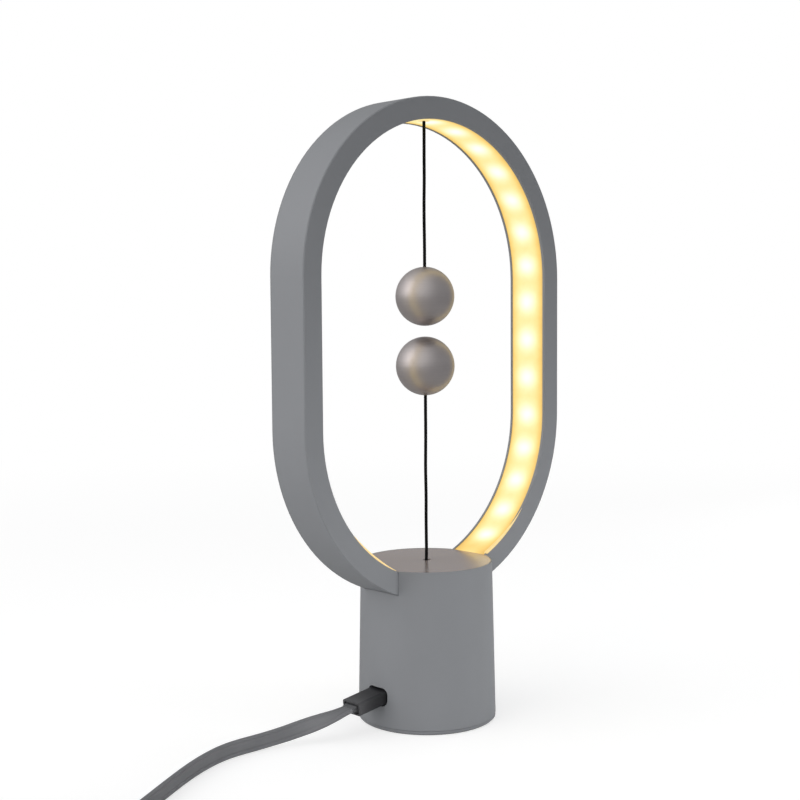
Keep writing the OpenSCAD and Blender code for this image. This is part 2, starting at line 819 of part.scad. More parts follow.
module switch_slider() color("#e4e0d4") difference() {
    union() {
        translate([0, 0, flange_z]) cylinder(h = flange_h, r = switch_bore_r - slide_fit);
        translate([0, 0, flange_z]) cylinder(h = stem_top_z - flange_z, r = stem_r);
    }
    drill(stem_top_z - stub_depth, stub_depth + over, cord_r + thread_fit);
}

module contact_ring() color("#c9a23c") difference() {
    translate([0, 0, flange_z + flange_h]) cylinder(h = contact_t, r = switch_bore_r - 2 * slide_fit);
    translate([0, 0, flange_z + flange_h - over])
        cylinder(h = contact_t + 2 * over, r = spring_r + spring_wire);
}

// The return spring is one unbroken helix; its gap to itself is printed
spring_sides = 6;
spring_steps = 12;
spring_low_z = flange_z + flange_h + spring_wire / 2 + seat_gap / 2;
spring_high_z = switch_top_z - spring_wire / 2 - seat_gap / 2;
spring_rise = (spring_high_z - spring_low_z) / spring_turns;
echo(spring_gap = spring_rise - spring_wire);

module return_spring() color("#a9abae") {
    steps = spring_turns * spring_steps;
    rings = [
        for (i = [0:steps])
            let (a = i * 360 / spring_steps, z = spring_low_z + i * spring_rise / spring_steps)
            [
                for (j = [0:spring_sides - 1])
                    let (b = j * 360 / spring_sides, r = spring_r + spring_wire / 2 * cos(b))
                    [r * cos(a), r * sin(a), z + spring_wire / 2 * sin(b)]
            ]
    ];
    tube_through([for (i = [len(rings) - 1:-1:0]) rings[i]]);
}

module pull_cord_stub() color("#151515") translate([0, 0, stem_top_z - stub_depth])
    cylinder(h = lower_pivot_z - cord_r - cord_gap - stem_top_z + stub_depth, r = cord_r);

// Balls and cords

module half_ball(z, up) {
    difference() {
        translate([0, 0, z]) sphere(ball_r, $fn = 128);
        translate([0, 0, z]) sphere(ball_in_r, $fn = 128);
        translate([-ball_r - over, -ball_r - over, up ? z - 2 * ball_r : z])
            cube([2 * ball_r + 2 * over, 2 * ball_r + 2 * over, 2 * ball_r]);
    }
}

// A core with a pocket for the magnet at one end and a bore for the cord at the other
module ball_core(z, magnet_up) {
    translate([0, 0, z]) mirror([0, 0, magnet_up ? 0 : 1]) difference() {
        translate([0, 0, -core_half]) cylinder(h = 2 * core_half, r = core_r);
        translate([0, 0, core_half - magnet_t]) cylinder(h = magnet_t + over, r = magnet_r + thread_fit);
        translate([0, 0, -ball_r]) cylinder(h = cord_into_ball, r = cord_bore_r, $fn = 32);
    }
}

module upper_ball_top() color("#b9aca8") difference() {
    half_ball(upper_ball_z, true);
    translate([0, 0, upper_ball_z]) cylinder(h = 2 * ball_r, r = cord_bore_r, $fn = 32);
}

module upper_ball_bottom() color("#b9aca8") half_ball(upper_ball_z, false);

module upper_ball_core() color("#404246") ball_core(upper_ball_z, false);

module upper_magnet() color("#8f9296")
    translate([0, 0, upper_ball_z - core_half]) cylinder(h = magnet_t, r = magnet_r);

module upper_cord() color("#151515") {
    low_z = upper_ball_z + ball_r - cord_into_ball;
    translate([0, 0, low_z]) cylinder(h = upper_pivot_z - cord_r - cord_gap - low_z, r = cord_r);
}

module upper_pivot_bead() color("#151515") translate([0, 0, upper_pivot_z]) sphere(cord_r);

module lower_ball_top() color("#b9aca8") half_ball(lower_ball_z, true);

module lower_ball_bottom() color("#b9aca8") difference() {
    half_ball(lower_ball_z, false);
    translate([0, 0, lower_ball_z - 2 * ball_r]) cylinder(h = 2 * ball_r, r = cord_bore_r, $fn = 32);
}

module lower_ball_core() color("#404246") ball_core(lower_ball_z, true);

module lower_magnet() color("#8f9296")
    translate([0, 0, lower_ball_z + core_half - magnet_t]) cylinder(h = magnet_t, r = magnet_r);

module lower_pivot_bead() color("#151515") translate([0, 0, lower_pivot_z]) sphere(cord_r);

module lower_cord_ferrule() color("#151515") translate([0, 0, lower_pivot_z + cord_r + cord_gap])
    cylinder(h = ferrule_l, r = cord_r);

module lower_cord() color("#151515") {
    low_z = lower_pivot_z + cord_r + cord_gap + ferrule_l;
    translate([0, 0, low_z]) cylinder(h = lower_ball_bottom_z + ball_wall - low_z, r = cord_r);
}

// Cable

cable_path = concat([plug_mouth], route, [coil_join]);
coil_in_d = [cos(coil_heading), sin(coil_heading), 0];

cable_lean = [
    for (i = [0:len(cable_path) - 1])
        let (share = min(1, i / twist_points))
        90 * (1 - share * share * (3 - 2 * share))
];

module cable() color("#707276")
    tube_through(flat_rings(cable_path, headings(cable_path, exit_d, coil_in_d), cable_section, cable_lean));

// The coil turns clockwise inwards, then bends off to the plug in its middle
coil_points = [
    for (i = [0:round(coil_turns * coil_steps)])
        let (a = coil_heading + 90 - i * 360 / coil_steps, r = coil_outer_r - coil_pitch * i / coil_steps)
        coil_mid + r * [cos(a), sin(a), 0]
];
coil_end_a = coil_heading + 90 - coil_turns * 360;
turn_mid = coil_mid + (coil_inner_r - turn_in_r) * [cos(coil_end_a), sin(coil_end_a), 0];
turn_points = [
    for (i = [1:turn_in_steps])
        let (a = coil_end_a - turn_in_angle * i / turn_in_steps)
        turn_mid + turn_in_r * [cos(a), sin(a), 0]
];
tail_a = coil_end_a - turn_in_angle - 90;
tail_d = [cos(tail_a), sin(tail_a), 0];
tail_point = turn_points[turn_in_steps - 1] + tail_l * tail_d;
coil_path = concat(coil_points, turn_points, [tail_point]);

// Least gap between neighbouring turns, on the points themselves
coil_gaps = [
    for (i = [0:len(coil_points) - coil_steps - 1])
        norm(coil_points[i] - coil_points[i + coil_steps]) * cos(180 / coil_steps) - cable_t
];
echo(coil_gap = min(coil_gaps));
coil_runs = [for (i = [1:len(coil_path) - 1]) norm(coil_path[i] - coil_path[i - 1])];
free_runs = [for (i = [1:len(cable_path) - 1]) norm(cable_path[i] - cable_path[i - 1])];
function total(v, i = 0) = i == len(v) ? 0 : v[i] + total(v, i + 1);
echo(cable_length = total(free_runs) + total(coil_runs), free = total(free_runs), coil = total(coil_runs));
echo(coil_mid = coil_mid, coil_path_end = tail_point, tail_a = tail_a);
echo(ring_top = arc_high_z + ring_outer_r);

module cable_coil() color("#707276")
    tube_through(flat_rings(coil_path, headings(coil_path, coil_in_d, tail_d), coil_section,
        [for (p = coil_path) 0]));

module coil_tie() color("#1b1b1c") translate(flat(coil_mid)) rotate([0, 0, tie_angle]) {
    r_out = coil_outer_r + cable_t / 2 + tie_room;
    clear_r = coil_inner_r * cos(180 / coil_steps) - cable_t / 2 - tie_room;
    r_in = sqrt(clear_r * clear_r - tie_w * tie_w / 4);
    top_z = coil_join[2] + cable_w / 2 + tie_room;
    rotate([90, 0, 0]) translate([0, 0, -tie_w / 2]) linear_extrude(tie_w) difference() {
        translate([r_in - tie_t, 0]) square([r_out - r_in + 2 * tie_t, top_z + tie_t]);
        translate([r_in, tie_t]) square([r_out - r_in, top_z - tie_t]);
    }
}

module at_charger() {
    translate(tail_point) rotate([0, 0, tail_a]) children();
}

module charger_plug_grip() color("#4a4b4e") at_charger()
    rounded_bar(0, charger_grip_l, charger_w, charger_h, grip_corner);

module charger_plug_shell() color("#c4c6c9") at_charger() translate([charger_grip_l, 0, 0]) difference() {
    half_w = charger_shell[1] / 2;
    half_h = charger_shell[2] / 2;
    translate([0, -half_w, -half_h]) cube(charger_shell);
    translate([charger_shell[0] / 3, -half_w + charger_wall, -half_h + charger_wall])
        cube([charger_shell[0], 2 * half_w - 2 * charger_wall, half_h]);
}

ring_housing();
ring_back_cover();
light_diffuser();
led_strip();
leds();
ring_end_blocks();
ring_saddle();
saddle_screws();
cord_anchor();
upper_cord_knot();
base_shell();
top_disc();
cord_guide();
foot_plate();
foot_pad();
cover_screws();
ballast_weight();
ballast_screws();
board_spacers();
control_board();
board_parts();
board_screws();
socket_cup();
socket_board();
usb_socket();
inner_wires();
switch_housing();
switch_cap();
contact_pins();
return_spring();
switch_slider();
contact_ring();
pull_cord_stub();
upper_pivot_bead();
upper_cord();
upper_ball_top();
upper_ball_bottom();
upper_ball_core();
upper_magnet();
lower_pivot_bead();
lower_cord();
lower_cord_ferrule();
lower_ball_top();
lower_ball_bottom();
lower_ball_core();
lower_magnet();
plug_grip();
plug_shell();
cable();
cable_coil();
coil_tie();
charger_plug_grip();
charger_plug_shell();
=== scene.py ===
"""Looks of the magnetic balance lamp: materials, cords, small details, light and camera."""

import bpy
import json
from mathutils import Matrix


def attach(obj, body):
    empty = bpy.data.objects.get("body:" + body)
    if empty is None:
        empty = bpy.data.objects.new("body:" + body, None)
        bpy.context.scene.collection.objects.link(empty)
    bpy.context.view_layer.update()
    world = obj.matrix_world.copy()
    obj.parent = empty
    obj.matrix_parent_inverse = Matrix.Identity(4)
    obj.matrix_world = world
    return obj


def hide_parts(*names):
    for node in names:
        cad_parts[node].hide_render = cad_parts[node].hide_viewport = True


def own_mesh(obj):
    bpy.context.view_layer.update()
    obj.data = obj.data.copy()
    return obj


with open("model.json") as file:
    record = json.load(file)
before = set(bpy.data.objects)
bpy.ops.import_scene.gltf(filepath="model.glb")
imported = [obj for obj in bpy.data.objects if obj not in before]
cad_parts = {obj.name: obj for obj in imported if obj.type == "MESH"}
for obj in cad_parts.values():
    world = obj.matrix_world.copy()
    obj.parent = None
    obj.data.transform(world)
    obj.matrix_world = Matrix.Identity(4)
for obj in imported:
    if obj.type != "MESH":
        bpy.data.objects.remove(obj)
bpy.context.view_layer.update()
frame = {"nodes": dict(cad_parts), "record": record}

import json
import math

import bpy
from mathutils import Matrix, Vector, noise

nodes = frame["nodes"]
scene = bpy.context.scene


# Camera: the photograph's viewpoint, worked out from the ring, the base and the balls


def place_camera():
    azimuth, height, roll = math.radians(43.3), math.radians(4.1), math.radians(-0.4)
    distance, aside, target_z = 0.8685, -0.0165, 0.2078
    back = Vector(
        (
            -math.sin(azimuth) * math.cos(height),
            -math.cos(azimuth) * math.cos(height),
            math.sin(height),
        )
    )
    right = Vector((math.cos(azimuth), -math.sin(azimuth), 0))
    up = back.cross(right)
    across = right * math.cos(roll) + up * math.sin(roll)
    upward = up * math.cos(roll) - right * math.sin(roll)
    place = Vector((0, 0, target_z)) + right * aside + back * distance
    data = bpy.data.cameras.new("camera")
    data.sensor_fit = "HORIZONTAL"
    data.sensor_width = 36
    data.lens = 60.26
    data.clip_start = 0.02
    data.clip_end = 60
    camera = bpy.data.objects.new("camera", data)
    turn = Matrix((across, upward, back)).transposed().to_4x4()
    camera.matrix_world = Matrix.Translation(place) @ turn
    scene.collection.objects.link(camera)
    scene.camera = camera


place_camera()


# Mesh helpers


def mesh_object(name, points, faces, smooth, uvs=None):
    mesh = bpy.data.meshes.new(name)
    mesh.from_pydata([tuple(p) for p in points], [], faces)
    mesh.update()
    if uvs is not None:
        layer = mesh.uv_layers.new(name="along")
        for polygon in mesh.polygons:
            for loop, corner in zip(polygon.loop_indices, uvs[polygon.index]):
                layer.data[loop].uv = corner
    for polygon in mesh.polygons:
        polygon.use_smooth = smooth
    made = bpy.data.objects.new(name, mesh)
    scene.collection.objects.link(made)
    return made


def tube(name, rings, runs):
    """A closed tube through rings of points, mapped along by the runs and once around."""
    count = len(rings[0])
    points = [p for ring in rings for p in ring]
    faces, uvs = [], []
    for i in range(len(rings) - 1):
        for j in range(count):
            k = (j + 1) % count
            faces.append(
                (
                    i * count + j,
                    i * count + k,
                    (i + 1) * count + k,
                    (i + 1) * count + j,
                )
            )
            a, b = j / count, (j + 1) / count
            uvs.append(
                ((runs[i], a), (runs[i], b), (runs[i + 1], b), (runs[i + 1], a))
            )
    last = (len(rings) - 1) * count
    faces.append(tuple(reversed(range(count))))
    uvs.append([(runs[0], 0)] * count)
    faces.append(tuple(last + j for j in range(count)))
    uvs.append([(runs[-1], 0)] * count)
    return mesh_object(name, points, faces, True, uvs)


def run_lengths(path):
    """How far along the path each of its points is."""
    runs = [0.0]
    for a, b in zip(path, path[1:]):
        runs.append(runs[-1] + (b - a).length)
    return runs


def eased(share):
    """A share from 0 to 1 that starts and ends gently."""
    share = max(0.0, min(1.0, share))
    return share * share * (3 - 2 * share)


def smooth_path(points, first, last, steps):
    """A smooth curve through the points, leaving and arriving in the given directions."""
    made = []
    count = len(points)
    for i in range(count - 1):
        a, b = points[i], points[i + 1]
        span = (b - a).length
        slope_a = (
            first * span
            if i == 0
            else (points[i + 1] - points[i - 1])
            * (span / ((points[i + 1] - a).length + (a - points[i - 1]).length))
        )
        slope_b = (
            last * span
            if i == count - 2
            else (points[i + 2] - a)
            * (span / ((points[i + 2] - b).length + (b - a).length))
        )
        for k in range(steps):
            t = k / steps
            made.append(
                (
                    a * (2 * t**3 - 3 * t**2 + 1)
                    + slope_a * (t**3 - 2 * t**2 + t)
                    + b * (-2 * t**3 + 3 * t**2)
                    + slope_b * (t**3 - t**2),
                    i + t,
                )
            )
    made.append((points[-1], count - 1))
    return made


# Power cable: it leaves the plug lying flat, turns on edge on its way down and ends in a coil

CABLE_W = 0.010
CABLE_T = 0.0024
MOUTH = Vector((-0.06613, 0, 0.01848))
TILT = math.radians(8)
EXIT_D = Vector((-math.cos(TILT), 0, -math.sin(TILT)))
ROUTE = [
    (-0.073, 0.0003, 0.0174),
    (-0.079, 0.0015, 0.0159),
    (-0.085, 0.0040, 0.0141),
    (-0.092, 0.0077, 0.0119),
    (-0.099, 0.0115, 0.0098),
    (-0.107, 0.0152, 0.0077),
    (-0.116, 0.0184, 0.0061),
    (-0.125, 0.0202, 0.0053),
    (-0.135, 0.0209, 0.0051),
    (-0.145, 0.0204, 0.0051),
    (-0.155, 0.0184, 0.0051),
    (-0.165, 0.0150, 0.0051),
    (-0.176, 0.0103, 0.0051),
    (-0.188, 0.0042, 0.0051),
    (-0.201, -0.0032, 0.0051),
    (-0.214, -0.0109, 0.0051),
    (-0.227, -0.0187, 0.0051),
    (-0.241, -0.0270, 0.0052),
    (-0.256, -0.0356, 0.0054),
    (-0.271, -0.0440, 0.0056),
    (-0.286, -0.0523, 0.0058),
]
JOIN = Vector((-0.3045, -0.0624, 0.0059))
HEADING = 210
FREE_STEPS = 5
TWIST_POINTS = 7
COIL_R = 0.057
COIL_PITCH = 0.0038
COIL_TURNS = 3.75
COIL_STEPS = 72
CAD_COIL_STEPS = 24
TURN_IN_R = 0.020
TURN_IN_ANGLE = 120
TURN_IN_STEPS = 24
TAIL = 0.010
TAIL_STEPS = 3


def towards(degrees):
    """The level direction at an angle from +x."""
    a = math.radians(degrees)
    return Vector((math.cos(a), math.sin(a), 0))


COIL_MID = JOIN + COIL_R * towards(HEADING - 90)
COIL_END = HEADING + 90 - 360 * COIL_TURNS
COIL_IN_R = COIL_R - COIL_PITCH * COIL_TURNS
TAIL_A = COIL_END - 90 - TURN_IN_ANGLE


def cable_route():
    """Centreline, heading and lean of the whole cable, from the plug to the charger's plug."""
    points = [MOUTH] + [Vector(p) for p in ROUTE] + [JOIN]
    route = []
    for point, index in smooth_path(points, EXIT_D, towards(HEADING), FREE_STEPS):
        lean = 90 * (1 - eased(index / TWIST_POINTS))
        route.append((point, lean))
    for i in range(1, round(COIL_TURNS * COIL_STEPS) + 1):
        turns = i / COIL_STEPS
        a = HEADING + 90 - 360 * turns
        r = COIL_R - COIL_PITCH * turns
        route.append((COIL_MID + r * towards(a), 0))
    turn_mid = COIL_MID + (COIL_IN_R - TURN_IN_R) * towards(COIL_END)
    for i in range(1, TURN_IN_STEPS + 1):
        a = COIL_END - TURN_IN_ANGLE * i / TURN_IN_STEPS
        route.append((turn_mid + TURN_IN_R * towards(a), 0))
    end = route[-1][0]
    for i in range(1, TAIL_STEPS + 1):
        route.append((end + TAIL * i / TAIL_STEPS * towards(TAIL_A), 0))
    return route


def cable_profile():
    """Across the flat cable: rounded edges, a shallow flute inside each of them, a web between."""
    half_w, half_t, r = CABLE_W / 2, CABLE_T / 2, 0.00095
    edge_steps = 6
    side = []
    for k in range(edge_steps + 1):
        a = math.radians(-90 + 90 / edge_steps * k)
        side.append((half_t - r + r * math.cos(a), -half_w + r + r * math.sin(a)))
    # Place across the cable, and how far the surface is sunk there
    for u, sunk in (
        (-0.00345, 0),
        (-0.00318, 0.00022),
        (-0.00282, 0.00028),
        (-0.00246, 0.00022),
        (-0.0022, 0.00004),
        (-0.0011, 0.00006),
        (0, 0.00008),
        (0.0011, 0.00006),
        (0.0022, 0.00004),
        (0.00246, 0.00022),
        (0.00282, 0.00028),
        (0.00318, 0.00022),
        (0.00345, 0),
    ):
        side.append((half_t - sunk, u))
    for k in range(edge_steps + 1):
        a = math.radians(90 / edge_steps * k)
        side.append((half_t - r + r * math.cos(a), half_w - r + r * math.sin(a)))
    other = [(-t, -u) for t, u in side]
    return side + other


def make_cable():
    """The whole cable as one mesh, and its centreline."""
    route = cable_route()
    path = [p for p, _ in route]
    runs = run_lengths(path)
    profile = cable_profile()
    rings = []
    for i, (point, lean) in enumerate(route):
        ahead = path[min(i + 1, len(path) - 1)] - path[max(i - 1, 0)]
        ahead.normalize()
        if i == 0:
            ahead = EXIT_D
        side = Vector((-ahead.y, ahead.x, 0)).normalized()
        rise = ahead.cross(side)
        a = math.radians(lean)
        across = side * math.cos(a) + rise * math.sin(a)
        along = rise * math.cos(a) - side * math.sin(a)
        rings.append([point + t * across + u * along for t, u in profile])
    return tube("power_cable", rings, runs), path


cable, cable_path = make_cable()
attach(cable, "power_cord")
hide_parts("cable", "cable_coil")


def make_tie():
    """The strap that holds the coil: a soft strip round the turns, with a lapped end."""
    thick, half, room, corner = 0.0009, 0.0045, 0.0001, 0.0012
    layer = thick * 0.85
    r_out = COIL_R + CABLE_T / 2 + room
    clear_r = COIL_IN_R * math.cos(math.radians(180 / CAD_COIL_STEPS)) - CABLE_T / 2 - room
    r_in = math.sqrt(clear_r**2 - half**2)
    low, high = 0.00082, JOIN.z + CABLE_W / 2 + room
    corner_steps = 6
    loop = []
    for cx, cz, start in (
        (r_out - corner, low + corner, -90),
        (r_out - corner, high - corner, 0),
        (r_in + corner, high - corner, 90),
        (r_in + corner, low + corner, 180),
    ):
        for k in range(corner_steps + 1):
            a = math.radians(start + 90 / corner_steps * k)
            loop.append((cx, cz, math.cos(a), math.sin(a)))
    # Place across the strap, and its share of the full thickness there
    bands = [
        (-half, 0.35),
        (-half * 0.93, 0.85),
        (-half * 0.6, 1.0),
        (0, 1.0),
        (half * 0.6, 1.0),
        (half * 0.93, 0.85),
        (half, 0.35),
    ]
    rings = []
    for cx, cz, nx, nz in loop:
        ring = []
        for y, share in bands:
            outer = corner + layer * share
            ring.append((cx + nx * outer, y, cz + nz * outer))
        for y, _ in reversed(bands):
            ring.append((cx + nx * corner, y, cz + nz * corner))
        rings.append(ring)
    points = [Vector(p) for ring in rings for p in ring]
    count, total = len(rings[0]), len(rings)
    faces, uvs = [], []
    for i in range(total):
        n = (i + 1) % total
        for j in range(count):
            k = (j + 1) % count
            faces.append((i * count + j, n * count + j, n * count + k, i * count + k))
            uvs.append(
                (
                    (i / total, j / count),
                    ((i + 1) / total, j / count),
                    ((i + 1) / total, (j + 1) / count),
                    (i / total, (j + 1) / count),
                )
            )
    # The lapped end, a second layer on top with a rounded tongue
    base = len(points)
    start, length, steps = r_in + 0.0035, 0.010, 12
    round_steps, round_angle = 3, 26
    narrower, lap = 0.96, thick * 0.75
    for i in range(steps + 1):
        x = start + length * i / steps
        over = max(0, i - (steps - round_steps))
        taper = math.cos(math.radians(round_angle * over))
        for y, share in bands:
            points.append(Vector((x, y * taper * narrower, high + layer + lap * share)))
    wide = len(bands)
    for i in range(steps):
        for j in range(wide - 1):
            a = base + i * wide + j
            faces.append((a, a + wide, a + wide + 1, a + 1))
            uvs.append(((0, 0), (0.1, 0), (0.1, 0.1), (0, 0.1)))
    tie_angle = math.radians(60)
    turn = Matrix.Translation((COIL_MID.x, COIL_MID.y, 0)) @ Matrix.Rotation(tie_angle, 4, "Z")
    return mesh_object("cable_tie_strap", [turn @ p for p in points], faces, True, uvs)


tie = make_tie()
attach(tie, "power_cord")
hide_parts("coil_tie")


def oblong(middle, across, upward, half_w, half_h, corner):
    """Points round a rectangle with rounded corners."""
    steps = 6
    ring = []
    for sx, sy, start in ((1, 1, 0), (-1, 1, 90), (-1, -1, 180), (1, -1, 270)):
        cx, cy = sx * (half_w - corner), sy * (half_h - corner)
        for k in range(steps + 1):
            a = math.radians(start + 90 * k / steps)
            u, v = cx + corner * math.cos(a), cy + corner * math.sin(a)
            ring.append(middle + across * u + upward * v)
    return ring


def make_collar():
    """Strain relief where the cable leaves the plug: a ribbed sleeve that thins outwards."""
    across, upward = Vector((0, 1, 0)), Vector((-math.sin(TILT), 0, math.cos(TILT)))
    rings, runs = [], []
    # Distance from the cable's mouth, half width and half height
    for s, half_w, half_h in (
        (-0.0003, 0.00540, 0.00190),
        (0.0007, 0.00540, 0.00190),
        (0.0009, 0.00533, 0.00184),
        (0.0010, 0.00512, 0.00158),
        (0.0013, 0.00512, 0.00158),
        (0.0014, 0.00530, 0.00178),
        (0.0020, 0.00528, 0.00174),
        (0.0021, 0.00508, 0.00150),
        (0.0024, 0.00508, 0.00148),
        (0.0025, 0.00524, 0.00166),
        (0.0031, 0.00520, 0.00158),
        (0.0033, 0.00503, 0.00128),
    ):
        corner = min(half_h * 0.92, 0.0011)
        rings.append(oblong(MOUTH + EXIT_D * s, across, upward, half_w, half_h, corner))
        runs.append(s)
    return tube("cable_collar", rings, runs)


collar = make_collar()
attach(collar, "power_cord")


# Painted glints on the ring's front inner edge, one on each side of the base: glowing beads that
# stand in for the lit diffuser's reflection in that edge


def make_painted_glint(side):
    """A glowing bead round the lower bend, a painted glint of the diffuser's light. The left one
    thins at both ends, the right one upwards.
    """
    ring_r, low_z, front, bead = 0.0997, 0.1941, -0.0158, 0.0013
    reach, last = 0.0415, math.radians(50)
    first = math.asin(reach / ring_r)
    off_edge, off_face = 0.0002, 0.0001
    steps, sides = 48, 14
    rings, path = [], []
    for i in range(steps + 1):
        share = i / steps
        a = first + (last - first) * share
        inward = Vector((-side * math.sin(a), 0, math.cos(a)))
        middle = Vector((side * ring_r * math.sin(a), front, low_z - ring_r * math.cos(a)))
        thin = math.sin(math.pi * share) if side < 0 else math.cos(math.pi / 2 * share)
        thick = bead * (0.04 + 0.96 * abs(thin) ** 1.1)
        middle += inward * off_edge + Vector((0, thick + off_face, 0))
        ring = []
        for k in range(sides):
            b = 2 * math.pi * k / sides
            forward = Vector((0, -side * thick * math.sin(b), 0))
            ring.append(middle + inward * (thick * math.cos(b)) + forward)
        rings.append(ring)
        path.append(middle)
    name = "painted_glint_left" if side < 0 else "painted_glint_right"
    return tube(name, rings, run_lengths(path))


painted_glints = [make_painted_glint(-1), make_painted_glint(1)]
for painted_glint in painted_glints:
    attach(painted_glint, "lamp")


# Suspension cords: the same cord of three twisted strands over the upper and under the lower ball


def twisted_cord(name, low, high, wander):
    """A laid cord of three strands up the lamp's middle, with the small waves a real one keeps."""
    r, pitch, step_l, count = 0.00105, 0.0056, 0.00035, 30
    wave_rate, hair_share = 42, 0.02
    steps = int((high - low) / step_l)
    rings, path = [], []
    for i in range(steps + 1):
        z = low + (high - low) * i / steps
        share = i / steps
        hold = math.sin(math.pi * share) ** 0.6 if 0 < share < 1 else 0
        dx = wander * hold * noise.noise(Vector((z * wave_rate, 1.7, 0.3)))
        dy = wander * hold * noise.noise(Vector((z * wave_rate, 8.1, 4.4)))
        middle = Vector((dx, dy, z))
        path.append(middle)
        ring = []
        for j in range(count):
            a = 2 * math.pi * j / count
            lobes = abs(math.cos(1.5 * (a - 2 * math.pi * z / pitch)))
            hair = hair_share * noise.noise(Vector((a * 3, z * 4000, 2.2)))
            reach = min(r, r * (0.92 + 0.08 * lobes**0.7 + hair))
            ring.append(middle + Vector((reach * math.cos(a), reach * math.sin(a), 0)))
        rings.append(ring)
    return tube(name, rings, run_lengths(path)), path


UPPER_PIVOT = 0.3856
LOWER_PIVOT = 0.1034
UPPER_BALL = 0.2747
LOWER_BALL = 0.2298
BALL_R = 0.019

# The upper cord ends 7 mm over its ball's middle, the lower one 1.6 mm inside its ball's foot
upper_cord, upper_path = twisted_cord(
    "upper_suspension_cord", UPPER_BALL + 0.007, UPPER_PIVOT - 0.0002, 0.0003
)
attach(upper_cord, "upper_pendulum")
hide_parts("upper_cord")

lower_cord, lower_path = twisted_cord(
    "lower_pull_cord", LOWER_PIVOT + 0.0003, LOWER_BALL - BALL_R + 0.0016, 0.0006
)
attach(lower_cord, "lower_tether")
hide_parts("lower_cord", "lower_cord_ferrule")
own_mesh(lower_cord)


# Materials


class Nodes:
    """A node tree in the making, with short ways to add nodes and feed them."""

    def __init__(self, tree):
        self.tree = tree
        tree.nodes.clear()

    def add(self, kind, **settings):
        made = self.tree.nodes.new("ShaderNode" + kind)
        for key, value in settings.items():
            setattr(made, key, value)
        return made

    def join(self, source, target):
        self.tree.links.new(source, target)

    def put(self, target, value):
        if isinstance(value, bpy.types.NodeSocket):
            self.join(value, target)
        else:
            target.default_value = value

    def sum(self, operation, a, b=0.0, clamp=False):
        made = self.add("Math", operation=operation, use_clamp=clamp)
        self.put(made.inputs[0], a)
        self.put(made.inputs[1], b)
        return made.outputs[0]

    def share_plus(self, value, share, more, clamp=False):
        """The share of one value, plus another."""
        made = self.add("Math", operation="MULTIPLY_ADD", use_clamp=clamp)
        for target, fed in zip(made.inputs, (value, share, more)):
            self.put(target, fed)
        return made.outputs[0]

    def eased_span(self, value, low, high, to_low=0.0, to_high=1.0):
        made = self.add("MapRange", interpolation_type="SMOOTHSTEP")
        for name, fed in (
            ("Value", value),
            ("From Min", low),
            ("From Max", high),
            ("To Min", to_low),
            ("To Max", to_high),
        ):
            self.put(made.inputs[name], fed)
        return made.outputs[0]

    def surface(self, kind, colour, strength=None):
        """A shader of one colour. A strength is set where the shader has one."""
        made = self.add(kind)
        made.inputs[0].default_value = (*colour, 1)
        if strength is not None:
            self.put(made.inputs[1], strength)
        return made.outputs[0]

    def mixed(self, share, first, second):
        made = self.add("MixShader")
        for target, source in zip(made.inputs, (share, first, second)):
            self.join(source, target)
        return made.outputs[0]


class Finish(Nodes):
    """A material in the making: the principled shader, and short ways to add what feeds it."""

    def __init__(self, name):
        self.material = bpy.data.materials.new(name)
        self.material.use_nodes = True
        super().__init__(self.material.node_tree)
        output = self.add("OutputMaterial")
        self.shader = self.add("BsdfPrincipled")
        self.join(self.shader.outputs[0], output.inputs[0])

    def set(self, name, value):
        self.put(self.shader.inputs[name], value)

    def place(self, kind="Object"):
        return self.add("TexCoord").outputs[kind]

    def parts(self, vector):
        made = self.add("SeparateXYZ")
        self.join(vector, made.inputs[0])
        return made.outputs[0], made.outputs[1], made.outputs[2]

    def whole(self, x, y, z):
        made = self.add("CombineXYZ")
        for target, value in zip(made.inputs, (x, y, z)):
            self.put(target, value)
        return made.outputs[0]

    def stretch(self, vector, scale):
        made = self.add("Mapping")
        self.join(vector, made.inputs["Vector"])
        made.inputs["Scale"].default_value = scale
        return made.outputs[0]

    def noise(self, vector, scale, detail, rough):
        made = self.add("TexNoise")
        self.join(vector, made.inputs["Vector"])
        made.inputs["Scale"].default_value = scale
        made.inputs["Detail"].default_value = detail
        made.inputs["Roughness"].default_value = rough
        return made.outputs[0]

    def cells(self, vector, scale, feature="F1"):
        made = self.add("TexVoronoi", feature=feature)
        self.join(vector, made.inputs["Vector"])
        made.inputs["Scale"].default_value = scale
        return made.outputs[0]

    def span(self, value, low, high, to_low, to_high):
        made = self.add("MapRange")
        self.put(made.inputs["Value"], value)
        made.inputs["From Min"].default_value = low
        made.inputs["From Max"].default_value = high
        made.inputs["To Min"].default_value = to_low
        made.inputs["To Max"].default_value = to_high
        return made.outputs[0]

    def shades(self, value, stops):
        """Colours at their places on a ramp that the value runs along."""
        made = self.add("ValToRGB")
        ramp = made.color_ramp
        while len(ramp.elements) < len(stops):
            ramp.elements.new(0.5)
        for element, (at, colour) in zip(ramp.elements, stops):
            element.position = at
            element.color = (*colour, 1)
        self.join(value, made.inputs[0])
        return made.outputs[0]

    def blend(self, share, colour, over):
        """A constant colour laid over another by a share."""
        made = self.add("Mix", data_type="RGBA")
        self.put(made.inputs[0], share)
        self.put(made.inputs[6], colour)
        self.put(made.inputs[7], (*over, 1))
        return made.outputs[2]

    def tinted(self, value, low, high, start=0.3, end=0.7):
        """Two colours that the value runs between."""
        return self.shades(value, [(start, low), (end, high)])

    def bump(self, height, strength, distance, under=None):
        made = self.add("Bump")
        made.inputs["Strength"].default_value = strength
        made.inputs["Distance"].default_value = distance
        self.join(height, made.inputs["Height"])
        if under is not None:
            self.join(under, made.inputs["Normal"])
        return made.outputs[0]


def shaded(colour, factor):
    return tuple(min(1.0, c * factor) for c in colour)


